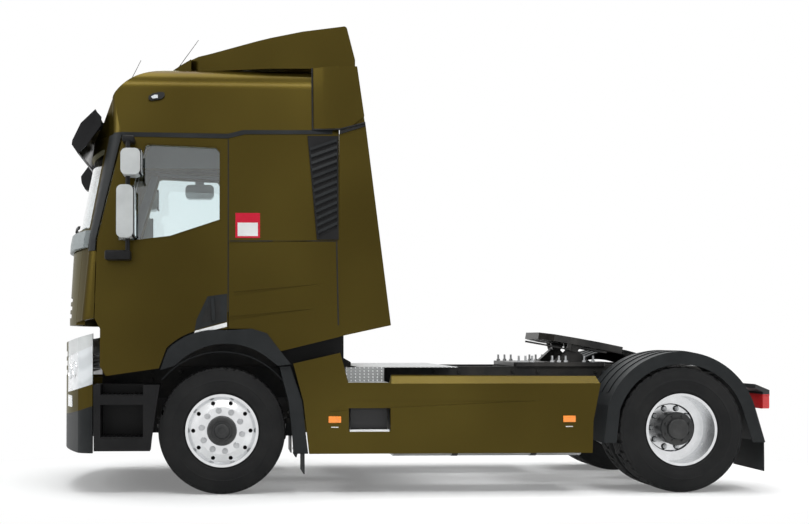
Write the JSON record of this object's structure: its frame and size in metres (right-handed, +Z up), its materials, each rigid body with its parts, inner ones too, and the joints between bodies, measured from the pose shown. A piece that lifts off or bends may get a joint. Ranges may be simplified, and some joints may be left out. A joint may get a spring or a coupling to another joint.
{
  "type": "cab-over semi truck tractor unit",
  "caption": "Two-axle cab-over road tractor with sleeper cab, opening doors and front flap, tilting cab, steered front wheels, twin rear wheels and a rocking fifth wheel.",
  "frame": {"origin": "on the ground midway between the ends and the sides", "axes": "+X forward, +Y to the vehicle's left, +Z up"},
  "size_m": [5.94, 3.04, 3.8692],
  "materials": {
    "paint": "metallic bronze-olive paint",
    "dark_plastic": "dark grey moulded plastic",
    "black_plastic": "black moulded plastic",
    "smoked_plastic": "smoked acrylic",
    "door_glass": "tinted safety glass",
    "windscreen_glass": "laminated glass",
    "lamp_lens": "clear lamp lens",
    "silver_paint": "silver",
    "mirror_cover": "silver painted plastic",
    "tail_lamp": "red lens",
    "tank_aluminium": "brushed",
    "checker_plate": "checker plate",
    "chassis_paint": "black chassis paint",
    "cast_iron": "cast",
    "tyre": "black rubber",
    "wheel_aluminium": "polished forged aluminium",
    "fifth_wheel_steel": "black, greased",
    "interior_plastic": "grained plastic",
    "seat_fabric": "woven seat cloth"
  },
  "bodies": {
    "chassis": {"frame": "chassis_paint", "front_axle": "chassis_paint", "rear_axle": "chassis_paint", "suspension": "chassis_paint", "powertrain": "cast_iron", "bumper": "paint", "bumper_skirt": "dark_plastic", "headlamps": "lamp_lens", "lamp_brows": "silver_paint", "step_boxes": "dark_plastic", "front_mudguards": "dark_plastic", "side_skirts": "paint", "tanks": "tank_aluminium", "catwalk": "checker_plate", "fifth_wheel_base": "fifth_wheel_steel", "rear_fenders": "dark_plastic", "tail_lamps": "tail_lamp"},
    "cab": {"cab_shell": "paint", "roof": "paint", "windscreen": "windscreen_glass", "sun_visor": "smoked_plastic", "roof_deflector": "paint", "side_deflectors": "paint", "cowl": "dark_plastic", "wipers": "black_plastic", "arch_flares": "dark_plastic", "intake_grilles": "black_plastic", "dashboard": "interior_plastic", "front_mirror": "black_plastic", "seats": "seat_fabric"},
    "flap": {"front_flap": "paint"},
    "left_door": {"door_left": "paint", "door_glass_left": "door_glass", "mirrors_left": "mirror_cover"},
    "right_door": {"door_right": "paint", "door_glass_right": "door_glass", "mirrors_right": "mirror_cover"},
    "left_knuckle": {"knuckle_left": "chassis_paint"},
    "right_knuckle": {"knuckle_right": "chassis_paint"},
    "front_left_wheel": {"tyre_front_left": "tyre", "rim_front_left": "wheel_aluminium"},
    "front_right_wheel": {"tyre_front_right": "tyre", "rim_front_right": "wheel_aluminium"},
    "rear_left_wheel": {"tyres_rear_left": "tyre", "rims_rear_left": "wheel_aluminium"},
    "rear_right_wheel": {"tyres_rear_right": "tyre", "rims_rear_right": "wheel_aluminium"},
    "coupling_plate": {"fifth_wheel_plate": "fifth_wheel_steel"}
  },
  "joints": [
    {"name": "cab_tilt", "type": "hinge", "parent": "chassis", "child": "cab", "pos_m": [2.595, 0, 1.085], "axis": [0, 1, 0], "range_deg": [0, 60]},
    {"name": "flap_lift", "type": "hinge", "parent": "cab", "child": "flap", "pos_m": [2.925, 0, 2.012], "axis": [0, -1, 0], "range_deg": [0, 80]},
    {"name": "left_door_swing", "type": "hinge", "parent": "cab", "child": "left_door", "pos_m": [2.632, 1.24, 1.9], "axis": [0, 0, -1], "range_deg": [0, 75]},
    {"name": "right_door_swing", "type": "hinge", "parent": "cab", "child": "right_door", "pos_m": [2.632, -1.24, 1.9], "axis": [0, 0, 1], "range_deg": [0, 75]},
    {"name": "steer_left", "type": "hinge", "parent": "chassis", "child": "left_knuckle", "pos_m": [1.59, 0.85, 0.522], "axis": [0, 0, 1], "range_deg": [-38, 38]},
    {"name": "steer_right", "type": "hinge", "parent": "chassis", "child": "right_knuckle", "pos_m": [1.59, -0.85, 0.522], "axis": [0, 0, 1], "range_deg": [-38, 38]},
    {"name": "spin_front_left", "type": "hinge", "parent": "left_knuckle", "child": "front_left_wheel", "pos_m": [1.59, 1.025, 0.522], "axis": [0, 1, 0], "continuous": true},
    {"name": "spin_front_right", "type": "hinge", "parent": "right_knuckle", "child": "front_right_wheel", "pos_m": [1.59, -1.025, 0.522], "axis": [0, 1, 0], "continuous": true},
    {"name": "spin_rear_left", "type": "hinge", "parent": "chassis", "child": "rear_left_wheel", "pos_m": [-2.21, 0.91, 0.522], "axis": [0, 1, 0], "continuous": true},
    {"name": "spin_rear_right", "type": "hinge", "parent": "chassis", "child": "rear_right_wheel", "pos_m": [-2.21, -0.91, 0.522], "axis": [0, 1, 0], "continuous": true},
    {"name": "plate_rock", "type": "hinge", "parent": "chassis", "child": "coupling_plate", "pos_m": [-1.54, 0, 1.178], "axis": [0, 1, 0], "range_deg": [-4, 22]}
  ],
  "couplings": [
    {"joint": "steer_right", "follows": "steer_left", "ratio": 1}
  ]
}
